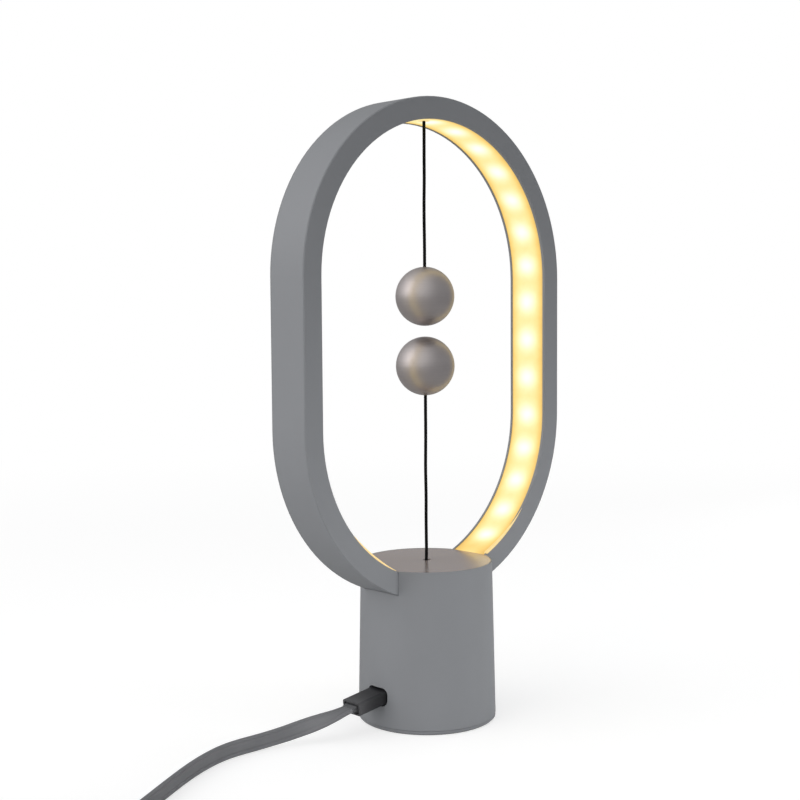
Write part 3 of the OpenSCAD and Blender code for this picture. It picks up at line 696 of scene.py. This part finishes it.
def plastic(name, colour, rough, grain, depth, tone):
    """Moulded plastic: a fine spark-eroded grain, faint cloudiness of the colour, uneven sheen."""
    f = Finish(name)
    at = f.place()
    cloud = f.noise(at, 22, 4, 0.55)
    fine = f.noise(at, 1 / grain, 2, 0.6)
    pores = f.cells(at, 0.45 / grain, "SMOOTH_F1")
    mixed = f.sum("ADD", f.sum("MULTIPLY", cloud, 0.6), f.sum("MULTIPLY", fine, 0.4))
    f.set("Base Color", f.tinted(mixed, shaded(colour, 1 - tone), shaded(colour, 1 + tone)))
    f.set("Roughness", f.span(cloud, 0.3, 0.7, rough - 0.04, rough + 0.05))
    height = f.sum("ADD", fine, f.sum("MULTIPLY", pores, 0.5))
    broad = f.bump(f.noise(at, 60, 2, 0.5), 0.12, 0.0001)
    f.set("Normal", f.bump(height, 0.35, depth, broad))
    return f.material


def metal(name, colour, rough, scratch, specks=None):
    """Plain metal: slightly mottled reflectance, fine random scratches, duller patches."""
    f = Finish(name)
    at = f.place()
    cloud = f.noise(at, 140, 4, 0.55)
    lines = f.noise(f.stretch(at, (900, 900, 7000)), 1, 3, 0.6)
    tone = 0.06
    shade = f.tinted(cloud, shaded(colour, 1 - tone), shaded(colour, 1 + tone))
    if specks is not None:
        spots = f.span(f.noise(at, 420, 3, 0.6), 0.58, 0.7, 0, 1)
        shade = f.blend(spots, shade, specks)
    f.set("Base Color", shade)
    f.set("Metallic", 1.0)
    f.set("Roughness", f.span(lines, 0.3, 0.7, rough - 0.05, rough + 0.06))
    f.set("Normal", f.bump(lines, scratch, 0.00001))
    return f.material


def ball_finish():
    """Turned and satin-finished metal: faint lathe rings round the ball's upright axis."""
    f = Finish("ball_metal_satin")
    at = f.place()
    x, y, z = f.parts(at)
    lathe = f.whole(f.sum("MULTIPLY", x, 30), f.sum("MULTIPLY", y, 30), f.sum("MULTIPLY", z, 2600))
    turned = f.noise(lathe, 1, 3, 0.65)
    cloud = f.noise(at, 55, 4, 0.5)
    pits = f.noise(at, 2600, 2, 0.5)
    mixed = f.sum("ADD", f.sum("MULTIPLY", turned, 0.55), f.sum("MULTIPLY", cloud, 0.45))
    f.set("Base Color", f.tinted(mixed, (0.485, 0.450, 0.450), (0.550, 0.512, 0.512)))
    f.set("Metallic", 1.0)
    f.set("Roughness", f.span(mixed, 0.3, 0.7, 0.43, 0.48))
    grains = f.bump(pits, 0.10, 0.00001)
    f.set("Normal", f.bump(turned, 0.10, 0.00001, grains))
    return f.material


def disc_finish():
    """The top disc: brushed in circles, so that a highlight draws out into rays."""
    f = Finish("disc_metal_brushed")
    x, y, _ = f.parts(f.place())
    r = f.sum("SQRT", f.sum("ADD", f.sum("MULTIPLY", x, x), f.sum("MULTIPLY", y, y)))
    r = f.sum("MAXIMUM", r, 0.0005)
    along_x, along_y = f.sum("DIVIDE", x, r), f.sum("DIVIDE", y, r)
    strokes = f.whole(
        f.sum("MULTIPLY", along_x, 1.3),
        f.sum("MULTIPLY", along_y, 1.3),
        f.sum("MULTIPLY", r, 3800),
    )
    rings = f.noise(strokes, 1, 4, 0.7)
    wide = f.noise(f.whole(along_x, along_y, f.sum("MULTIPLY", r, 420)), 1, 2, 0.5)
    mixed = f.sum("ADD", f.sum("MULTIPLY", rings, 0.65), f.sum("MULTIPLY", wide, 0.35))
    f.set("Base Color", f.tinted(mixed, (0.460, 0.402, 0.392), (0.540, 0.474, 0.464)))
    f.set("Metallic", 0.62)
    f.set("Specular IOR Level", 0.05)
    f.set("Roughness", f.span(mixed, 0.3, 0.7, 0.16, 0.23))
    f.set("Anisotropic", 0.55)
    lie = f.add("Tangent", direction_type="RADIAL", axis="Z")
    f.set("Tangent", lie.outputs[0])
    f.set("Normal", f.bump(rings, 0.12, 0.00001))
    return f.material


RING_MID_HIGH = 0.2863
RING_MID_LOW = 0.1941
STRIP_R = 0.1113
LED_PITCH = 0.0262
LED_FIRST = 0.007
GLOW_MIDDLE_Y = 0.0006
GLOW_HALF_W = 0.0142
GLOW_LONG = 0.0052
GLOW_CROSS = 0.0058


def diffuser_finish():
    """Frosted diffuser over a row of LEDs: a warm band with a hot spot in front of each one."""
    f = Finish("diffuser_lit")
    at = f.place()
    x, y, z = f.parts(at)
    held = f.sum("MINIMUM", f.sum("MAXIMUM", z, RING_MID_LOW), RING_MID_HIGH)
    angle = f.sum("ARCTAN2", f.sum("SUBTRACT", z, held), f.sum("ABSOLUTE", x))
    bend = f.sum("MULTIPLY", f.sum("SUBTRACT", math.pi / 2, angle), STRIP_R)
    along = f.sum("ADD", bend, f.sum("SUBTRACT", RING_MID_HIGH, held))
    signed = f.sum("MULTIPLY", along, f.sum("SIGN", x))
    steps = f.sum("DIVIDE", f.sum("SUBTRACT", signed, LED_FIRST), LED_PITCH)
    near = f.sum("ABSOLUTE", f.sum("SUBTRACT", f.sum("FRACT", f.sum("ADD", steps, 0.5)), 0.5))
    near = f.sum("MULTIPLY", near, LED_PITCH)
    aside = f.sum("SUBTRACT", y, GLOW_MIDDLE_Y)
    # Height of the glow over the LED: a broad hill, and a fall towards both edges
    long_way = f.sum("DIVIDE", f.sum("MULTIPLY", near, near), -2 * GLOW_LONG**2)
    cross_way = f.sum("DIVIDE", f.sum("MULTIPLY", aside, aside), -2 * GLOW_CROSS**2)
    core = f.sum("EXPONENT", f.sum("ADD", long_way, cross_way))
    edge = f.sum("POWER", f.sum("DIVIDE", f.sum("ABSOLUTE", aside), GLOW_HALF_W), 4.0)
    wide = f.sum("EXPONENT", f.sum("MULTIPLY", edge, -1.0))
    level = f.sum("ADD", f.sum("MULTIPLY", core, 0.43), f.sum("MULTIPLY", wide, 0.51))
    # The row of LEDs stops before the ring's ends
    level = f.sum("MULTIPLY", level, f.span(z, 0.1025, 0.1125, 0.55, 1.0))
    milk = f.noise(at, 180, 3, 0.5)
    level = f.sum("ADD", level, f.span(milk, 0.3, 0.7, -0.012, 0.012), True)
    glow = f.shades(
        level,
        [
            (0.0, (0.46, 0.25, 0.04)),
            (0.16, (0.70, 0.42, 0.085)),
            (0.34, (0.88, 0.60, 0.16)),
            (0.50, (0.96, 0.76, 0.30)),
            (0.62, (0.98, 0.86, 0.46)),
            (0.80, (0.99, 0.95, 0.72)),
            (0.94, (1.0, 0.99, 0.93)),
        ],
    )
    f.set("Base Color", f.tinted(milk, (0.12, 0.09, 0.045), (0.15, 0.115, 0.06)))
    f.set("Roughness", f.span(milk, 0.3, 0.7, 0.52, 0.62))
    f.set("Normal", f.bump(f.noise(at, 2200, 2, 0.5), 0.15, 0.00001))
    f.set("Emission Color", glow)
    f.set("Emission Strength", 1.0)
    return f.material


def amber_finish():
    """Amber plastic that the light shines through, for the cord's bush; on the beads at the ring's
    inner edge its glow is a painted glint.
    """
    f = Finish("amber_clear_lit")
    at = f.place()
    cloud = f.noise(at, 500, 3, 0.5)
    f.set("Base Color", f.tinted(cloud, (0.20, 0.13, 0.05), (0.26, 0.17, 0.07)))
    f.set("Roughness", f.span(cloud, 0.3, 0.7, 0.35, 0.45))
    f.set("Normal", f.bump(f.noise(at, 2400, 2, 0.5), 0.12, 0.00001))
    # Glow: light through the bush, and a painted glint on the beads at the ring's inner edge
    f.set("Emission Color", f.tinted(cloud, (0.88, 0.66, 0.27), (0.94, 0.73, 0.36)))
    f.set("Emission Strength", 0.85)
    return f.material


def cord_finish():
    """Black laid cord: fine fibres along each strand, a dull sheen on the crowns."""
    f = Finish("black_cord_fibres")
    at = f.place()
    x, y, z = f.parts(at)
    turn = f.sum("ARCTAN2", y, x)
    lay = f.sum("ADD", f.sum("MULTIPLY", turn, 3.0), f.sum("MULTIPLY", z, 5200))
    fibre = f.noise(f.whole(lay, f.sum("MULTIPLY", z, 300), 0.0), 1.4, 3, 0.6)
    fluff = f.noise(at, 3000, 2, 0.5)
    black, dark = (0.0015, 0.0015, 0.0018), (0.006, 0.006, 0.0065)
    f.set("Base Color", f.tinted(fibre, black, dark, end=0.75))
    f.set("Roughness", f.span(fluff, 0.3, 0.7, 0.72, 0.86))
    f.set("Normal", f.bump(fibre, 0.5, 0.00008))
    f.set("Specular IOR Level", 0.12)
    return f.material


def cable_finish():
    """Extruded flat cable: soft matt grey, with faint lines along its length."""
    f = Finish("cable_grey_extruded")
    along, around, _ = f.parts(f.place("UV"))
    drawn = f.whole(f.sum("MULTIPLY", along, 14), f.sum("MULTIPLY", around, 90), 0.0)
    lines = f.noise(drawn, 1, 3, 0.6)
    cloud = f.noise(f.place(), 90, 3, 0.5)
    mixed = f.sum("ADD", f.sum("MULTIPLY", lines, 0.5), f.sum("MULTIPLY", cloud, 0.5))
    f.set("Base Color", f.tinted(mixed, (0.138, 0.140, 0.148), (0.168, 0.170, 0.178)))
    f.set("Roughness", f.span(mixed, 0.3, 0.7, 0.46, 0.58))
    fine = f.bump(f.noise(f.place(), 2400, 2, 0.5), 0.18, 0.00001)
    f.set("Normal", f.bump(lines, 0.2, 0.00002, fine))
    return f.material


def plug_finish():
    """The plug's grip: fine-grained dark plastic, with painted shade that darkens it towards the
    socket and leaves it paler towards the cable.
    """
    f = Finish("plug_plastic_moulded")
    at = f.place()
    x, _, _ = f.parts(at)
    cloud = f.noise(at, 60, 4, 0.55)
    fine = f.noise(at, 2800, 2, 0.6)
    # Painted shade: darker towards the socket, where the recess shades the grip, paler towards the
    # cable; the cloud adds a random tone
    cable_x, socket_x = -0.0655, -0.0520
    outward = f.span(x, cable_x, socket_x, 0.95, 0.0)
    painted_shade_and_tone = f.sum("ADD", outward, f.span(cloud, 0.3, 0.7, -0.06, 0.06))
    # The charger's plug, further out, has the same material with a third of the painted shade
    near_lamp = f.span(x, -0.09, -0.08, 0.35, 1.0)
    painted_shade_and_tone = f.sum("MULTIPLY", painted_shade_and_tone, near_lamp)
    stops = [
        (0.0, (0.016, 0.016, 0.018)),
        (0.5, (0.034, 0.034, 0.037)),
        (1.0, (0.070, 0.070, 0.074)),
    ]
    f.set("Base Color", f.shades(painted_shade_and_tone, stops))
    f.set("Roughness", f.span(cloud, 0.3, 0.7, 0.36, 0.45))
    f.set("Normal", f.bump(fine, 0.35, 0.00003))
    return f.material


def strap_finish():
    """Woven hook strap: a fine weave of loops."""
    f = Finish("strap_woven")
    at = f.place()
    x, y, z = f.parts(at)
    warp = f.sum("SINE", f.sum("MULTIPLY", f.sum("ADD", x, y), 9000))
    weft = f.sum("SINE", f.sum("MULTIPLY", f.sum("SUBTRACT", z, y), 9000))
    weave = f.sum("MULTIPLY", warp, weft)
    fluff = f.noise(at, 2600, 3, 0.6)
    height = f.sum("ADD", weave, fluff)
    f.set("Base Color", f.tinted(fluff, (0.010, 0.010, 0.011), (0.032, 0.032, 0.034)))
    f.set("Roughness", f.span(fluff, 0.3, 0.7, 0.8, 0.92))
    f.set("Normal", f.bump(height, 0.6, 0.0001))
    f.set("Sheen Weight", 0.3)
    return f.material


def rubber_finish():
    """Foot pad: dull foam rubber with fine cells."""
    f = Finish("rubber_cells")
    at = f.place()
    pores = f.cells(at, 1500)
    cloud = f.noise(at, 40, 3, 0.5)
    mixed = f.sum("ADD", f.sum("MULTIPLY", pores, 0.5), f.sum("MULTIPLY", cloud, 0.5))
    f.set("Base Color", f.tinted(mixed, (0.010, 0.010, 0.011), (0.030, 0.030, 0.032), 0.2, 0.8))
    f.set("Roughness", f.span(cloud, 0.3, 0.7, 0.78, 0.9))
    f.set("Normal", f.bump(pores, 0.4, 0.0001))
    return f.material


def board_finish():
    """Circuit board: green mask over copper tracks, with the weave of the laminate under it."""
    f = Finish("board_mask_green")
    at = f.place()
    x, y, _ = f.parts(at)
    track = f.add("TexBrick")
    f.join(at, track.inputs["Vector"])
    track.inputs["Scale"].default_value = 420
    track.inputs["Mortar Size"].default_value = 0.06
    track.inputs["Brick Width"].default_value = 1.3
    track.inputs["Row Height"].default_value = 0.5
    track.offset = 0.37
    warp = f.sum("SINE", f.sum("MULTIPLY", x, 7000))
    weft = f.sum("SINE", f.sum("MULTIPLY", y, 7000))
    weave = f.sum("MULTIPLY", warp, weft)
    cloud = f.noise(at, 120, 3, 0.5)
    green = f.tinted(cloud, (0.006, 0.070, 0.030), (0.010, 0.105, 0.046))
    f.set("Base Color", f.blend(track.outputs["Fac"], green, (0.05, 0.19, 0.06)))
    f.set("Roughness", f.span(cloud, 0.3, 0.7, 0.25, 0.36))
    lift = f.sum("ADD", track.outputs["Fac"], f.sum("MULTIPLY", weave, 0.12))
    f.set("Normal", f.bump(lift, 0.4, 0.00003))
    f.set("Coat Weight", 0.4)
    f.set("Coat Roughness", 0.15)
    return f.material


def iron_finish():
    """Cast iron ballast under black paint: orange peel, grains, worn edges of the casting."""
    f = Finish("ballast_cast_iron")
    at = f.place()
    peel = f.noise(at, 900, 4, 0.6)
    cast = f.noise(at, 260, 3, 0.6)
    worn = f.span(f.noise(at, 70, 4, 0.6), 0.6, 0.72, 0, 1)
    paint = f.tinted(peel, (0.045, 0.047, 0.050), (0.075, 0.077, 0.081))
    f.set("Base Color", f.blend(worn, paint, (0.16, 0.155, 0.15)))
    f.set("Metallic", f.span(worn, 0, 1, 0.2, 0.85))
    f.set("Roughness", f.span(cast, 0.3, 0.7, 0.5, 0.68))
    f.set("Normal", f.bump(f.sum("ADD", peel, cast), 0.35, 0.00008))
    return f.material


def lens_finish():
    """LED: white ceramic body round a yellow phosphor."""
    f = Finish("led_phosphor")
    at = f.place()
    grains = f.noise(at, 3200, 3, 0.6)
    f.set("Base Color", f.tinted(grains, (0.88, 0.64, 0.16), (0.95, 0.76, 0.28)))
    f.set("Roughness", f.span(grains, 0.3, 0.7, 0.32, 0.45))
    f.set("Emission Color", (1.0, 0.85, 0.55, 1))
    f.set("Emission Strength", 1.5)
    f.set("Normal", f.bump(grains, 0.2, 0.00001))
    return f.material


def strip_finish():
    """Flexible strip: white mask with copper lands at a regular step."""
    f = Finish("strip_white_mask")
    at = f.place()
    lands = f.span(f.noise(at, 260, 1, 0.4), 0.6, 0.64, 0, 1)
    cloud = f.noise(at, 500, 3, 0.5)
    mask = f.tinted(cloud, (0.74, 0.73, 0.70), (0.82, 0.81, 0.78))
    f.set("Base Color", f.blend(lands, mask, (0.72, 0.42, 0.22)))
    f.set("Roughness", f.span(cloud, 0.3, 0.7, 0.38, 0.5))
    f.set("Normal", f.bump(lands, 0.2, 0.00002))
    return f.material


def wire_finish():
    """Wire insulation: glossy red sleeve with faint drawing marks."""
    f = Finish("wire_red_sleeve")
    at = f.place()
    marks = f.noise(at, 1800, 3, 0.6)
    f.set("Base Color", f.tinted(marks, (0.30, 0.016, 0.014), (0.42, 0.028, 0.022)))
    f.set("Roughness", f.span(marks, 0.3, 0.7, 0.3, 0.42))
    f.set("Normal", f.bump(marks, 0.15, 0.00002))
    return f.material


GREY = (0.212, 0.219, 0.232)
finishes = {
    "grey_plastic": plastic(
        "grey_plastic_satin", GREY, rough=0.52, grain=0.00030, depth=0.000022, tone=0.035
    ),
    "grey_cover": plastic(
        "grey_cover_satin",
        shaded(GREY, 0.94),
        rough=0.54,
        grain=0.00030,
        depth=0.000022,
        tone=0.035,
    ),
    "diffuser": diffuser_finish(),
    "led_lens": lens_finish(),
    "strip_white": strip_finish(),
    "dark_plastic": plastic(
        "dark_plastic_grained",
        (0.016, 0.016, 0.018),
        rough=0.42,
        grain=0.00028,
        depth=0.00002,
        tone=0.12,
    ),
    "mid_plastic": plastic(
        "mid_plastic_grained",
        (0.065, 0.067, 0.072),
        rough=0.5,
        grain=0.0004,
        depth=0.00003,
        tone=0.07,
    ),
    "ivory_plastic": plastic(
        "ivory_plastic_smooth",
        (0.62, 0.58, 0.47),
        rough=0.36,
        grain=0.0007,
        depth=0.00001,
        tone=0.03,
    ),
    "steel": metal("steel_plated", (0.56, 0.57, 0.58), rough=0.28, scratch=0.2),
    "spring_steel": metal("spring_steel_drawn", (0.42, 0.42, 0.43), rough=0.3, scratch=0.3),
    "magnet": metal(
        "magnet_nickel", (0.60, 0.58, 0.55), rough=0.18, scratch=0.12, specks=(0.42, 0.40, 0.37)
    ),
    "brass": metal(
        "brass_turned", (0.70, 0.50, 0.21), rough=0.26, scratch=0.22, specks=(0.48, 0.32, 0.13)
    ),
    "ball_metal": ball_finish(),
    "disc_metal": disc_finish(),
    "ballast_iron": iron_finish(),
    "rubber": rubber_finish(),
    "board_green": board_finish(),
    "wire_red": wire_finish(),
    "black_cord": cord_finish(),
    "plug_plastic": plug_finish(),
    "cable_grey": cable_finish(),
}
strap = strap_finish()

for entry in frame["record"]["subparts"]:
    for place in nodes[entry["node"]].material_slots:
        place.material = finishes[entry["material_slot"]]
amber_glow_and_painted_glint = amber_finish()
for place in nodes["cord_anchor"].material_slots:
    place.material = amber_glow_and_painted_glint
collar_finish = plastic(
    "collar_plastic_moulded",
    (0.085, 0.086, 0.091),
    rough=0.45,
    grain=0.00035,
    depth=0.00002,
    tone=0.06,
)

for piece, finish in (
    (cable, finishes["cable_grey"]),
    (upper_cord, finishes["black_cord"]),
    (lower_cord, finishes["black_cord"]),
    (tie, strap),
    (collar, collar_finish),
    (painted_glints[0], amber_glow_and_painted_glint),
    (painted_glints[1], amber_glow_and_painted_glint),
):
    piece.data.materials.append(finish)


# Stage: pale floor, soft studio light from the left and above, weak low lights on the base

WHITE = (1, 1, 1)


def make_world():
    """A studio that is brighter on the left. The camera sees white, reflections a little of it."""
    bright_side, darkest, brightest = (-0.90, 0.15, 0.40), 0.315, 0.95
    white_share = 0.08
    world = bpy.data.worlds.new("studio")
    scene.world = world
    world.use_nodes = True
    t = Nodes(world.node_tree)
    out = t.add("OutputWorld")
    side = t.add("VectorMath", operation="DOT_PRODUCT")
    side.inputs[1].default_value = bright_side
    t.join(t.add("TexCoord").outputs["Generated"], side.inputs[0])
    level = t.eased_span(side.outputs["Value"], -0.1, 1.0, darkest, brightest)
    light = t.surface("Background", (0.985, 0.992, 1), level)
    seen = t.surface("Background", WHITE, 1.0)
    rays = t.add("LightPath").outputs
    shown = t.share_plus(rays["Is Glossy Ray"], white_share, rays["Is Camera Ray"])
    shown = t.sum("ADD", shown, rays["Is Transmission Ray"], True)
    t.join(t.mixed(shown, light, seen), out.inputs[0])


def make_floor():
    """White paper. The camera sees it with a soft shadow that fades to white further out."""
    size, fade_from, fade_to = 30, 0.25, 1.6
    paper, in_mirrors, dimmed, lift, white_share = 0.82, 0.36, 0.48, 0.615, 0.1
    floor = mesh_object(
        "floor",
        [(-size, -size, 0), (size, -size, 0), (size, size, 0), (-size, size, 0)],
        [(0, 1, 2, 3)],
        False,
    )
    material = bpy.data.materials.new("floor_paper")
    material.use_nodes = True
    t = Nodes(material.node_tree)
    out = t.add("OutputMaterial")
    rays = t.add("LightPath").outputs
    plain = t.surface("BsdfDiffuse", (paper,) * 3)
    mirrored = t.surface("BsdfDiffuse", (in_mirrors,) * 3)
    lit = t.add("AddShader")
    t.join(t.surface("BsdfDiffuse", (dimmed,) * 3), lit.inputs[0])
    t.join(t.surface("Emission", WHITE, lift), lit.inputs[1])
    reach = t.add("VectorMath", operation="LENGTH")
    t.join(t.add("TexCoord").outputs["Object"], reach.inputs[0])
    away = t.eased_span(reach.outputs["Value"], fade_from, fade_to)
    seen = t.mixed(away, lit.outputs[0], t.surface("Emission", WHITE, 1.0))
    shown = t.share_plus(rays["Is Glossy Ray"], white_share, rays["Is Camera Ray"], True)
    under = t.mixed(rays["Is Glossy Ray"], plain, mirrored)
    t.join(t.mixed(shown, under, seen), out.inputs[0])
    floor.data.materials.append(material)


def soft_light(name, place, target, size, power, colour, spread, sheen=False):
    """An area light that the camera doesn't see. A sheen light shows only in reflections."""
    data = bpy.data.lights.new(name, "AREA")
    data.shape = "RECTANGLE"
    data.size, data.size_y = size
    data.energy = power
    data.color = colour
    data.spread = math.radians(spread)
    made = bpy.data.objects.new(name, data)
    made.location = place
    aim = Vector(target) - Vector(place)
    made.rotation_euler = aim.to_track_quat("-Z", "Y").to_euler()
    made.visible_camera = False
    made.visible_glossy = sheen
    made.visible_diffuse = not sheen
    scene.collection.objects.link(made)


make_world()
make_floor()
WARM, ROSY = (1.0, 0.985, 0.97), (1.0, 0.95, 0.955)
# Name, place, target, width and height, watts, colour, spread in degrees, sheen
for light in (
    ("key_left", (-2.05, 0.5, 0.75), (0, 0, 0.2), (2.6, 2.2), 22, WARM, 180),
    ("sheen_left", (-1.66, 0.66, 1.20), (0, 0, 0.25), (1.1, 1.7), 8.0, ROSY, 180, True),
    ("top_soft", (0.1, -0.3, 1.9), (0, -0.1, 0), (1.6, 1.6), 5, WHITE, 180),
    ("low_front", (0.6, -1.0, 0.12), (0.02, 0, 0.02), (0.7, 0.3), 0.43, WHITE, 36),
    ("low_left", (-0.85, -0.80, 0.06), (0, 0, 0.03), (0.3, 0.2), 0.035, WHITE, 24),
    ("low_right", (1.4, 0.1, 0.07), (0, 0, 0.03), (0.5, 0.25), 0.9, WHITE, 50),
):
    soft_light(*light)

scene.view_settings.view_transform = "Standard"
